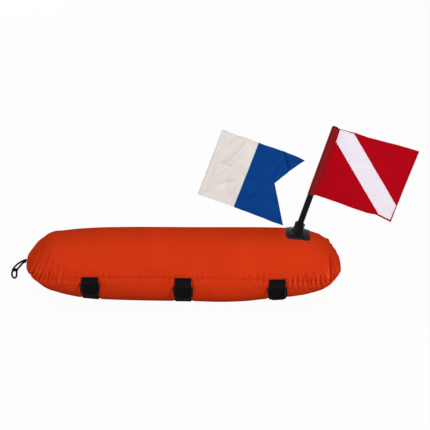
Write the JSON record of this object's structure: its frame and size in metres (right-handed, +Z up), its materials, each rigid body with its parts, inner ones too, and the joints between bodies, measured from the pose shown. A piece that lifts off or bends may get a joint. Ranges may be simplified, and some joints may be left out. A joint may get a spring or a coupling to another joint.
{
  "type": "dive flag float",
  "caption": "Torpedo-shaped inflatable surface marker float in a fabric cover, with webbing straps, D-rings, a leaning mast that carries a diver-down flag, and a loose swallow-tailed flag.",
  "frame": {"origin": "on the floor, under the middle strap's centre", "axes": "+X along the float towards the mast, +Z up, the side with the D-rings faces -Y"},
  "size_m": [1.2565, 0.2342, 0.5694],
  "materials": {
    "cover_nylon": "woven nylon with a faint sheen",
    "black_webbing": "matt webbing and cord",
    "black_plastic": "satin moulded plastic",
    "black_rubber": "matt",
    "bladder_film": "soft film",
    "flag_red": "light nylon",
    "flag_white": "light nylon",
    "flag_blue": "light nylon",
    "slider_metal": "dark satin"
  },
  "bodies": {
    "float": {"cover_top_panel": "cover_nylon", "cover_belly_panel": "cover_nylon", "valve_patch": "cover_nylon", "bladder": "bladder_film", "strap_left": "black_webbing", "strap_middle": "black_webbing", "strap_right": "black_webbing", "ring_keeper_left": "black_webbing", "ring_keeper_middle": "black_webbing", "ring_keeper_right": "black_webbing", "zip_tape_upper": "black_webbing", "zip_tape_lower": "black_webbing", "zip_stop_left": "black_plastic", "zip_stop_right": "black_plastic", "valve_body": "black_plastic", "mast_patch": "black_rubber", "mast_foot": "black_plastic", "nose_cord_upper": "black_webbing", "nose_cord_lower": "black_webbing", "nose_cord_eye": "black_webbing", "nose_knot": "black_webbing"},
    "ring_left": {"d_ring_left": "black_plastic"},
    "ring_middle": {"d_ring_middle": "black_plastic"},
    "ring_right": {"d_ring_right": "black_plastic"},
    "slider": {"zip_slider": "slider_metal"},
    "pull": {"zip_pull": "slider_metal"},
    "cap": {"valve_cap": "black_plastic"},
    "mast": {"mast_tube": "black_plastic", "mast_plug": "black_rubber", "mast_cap": "black_rubber"},
    "diver_flag": {"diver_flag_sleeve": "flag_red", "diver_flag_upper": "flag_red", "diver_flag_lower": "flag_red", "diver_flag_stripe": "flag_white"},
    "spare_flag": {"spare_flag_sleeve": "flag_white", "spare_flag_white": "flag_white", "spare_flag_blue": "flag_blue"}
  },
  "joints": [
    {"name": "ring_left_swing", "type": "hinge", "parent": "float", "child": "ring_left", "pos_m": [-0.28605, -0.11446, 0.09385], "axis": [-0.9994, 0.0014, 0.0353], "range_deg": [-22, 160]},
    {"name": "ring_middle_swing", "type": "hinge", "parent": "float", "child": "ring_middle", "pos_m": [-0.00002, -0.11275, 0.08154], "axis": [-0.9999, 0, 0.0124], "range_deg": [-22, 160]},
    {"name": "ring_right_swing", "type": "hinge", "parent": "float", "child": "ring_right", "pos_m": [0.2901, -0.10973, 0.07819], "axis": [-0.9982, 0, -0.0596], "range_deg": [-22, 160]},
    {"name": "zip_slide", "type": "slide", "parent": "float", "child": "slider", "axis": [0.9999, 0, -0.0169], "range_m": [0, 0.187]},
    {"name": "pull_swing", "type": "hinge", "parent": "slider", "child": "pull", "pos_m": [0.0493, 0.113, 0.11149], "axis": [0.0169, 0, 0.9999], "range_deg": [0, 165]},
    {"name": "cap_pull", "type": "slide", "parent": "float", "child": "cap", "axis": [0.0005, 0.7954, 0.606], "range_m": [0, 0.014]},
    {"name": "mast_pull", "type": "slide", "parent": "float", "child": "mast", "axis": [0.3156, 0, 0.9489], "range_m": [0, 0.022]},
    {"name": "flag_swing", "type": "hinge", "parent": "mast", "child": "diver_flag", "pos_m": [0.39243, 0, 0.34374], "axis": [0.3156, 0, 0.9489], "range_deg": [-150, 150]},
    {"name": "spare_flag_lift", "type": "slide", "parent": "float", "child": "spare_flag", "axis": [0.3387, 0, 0.9409], "range_m": [0, 0.3]}
  ]
}
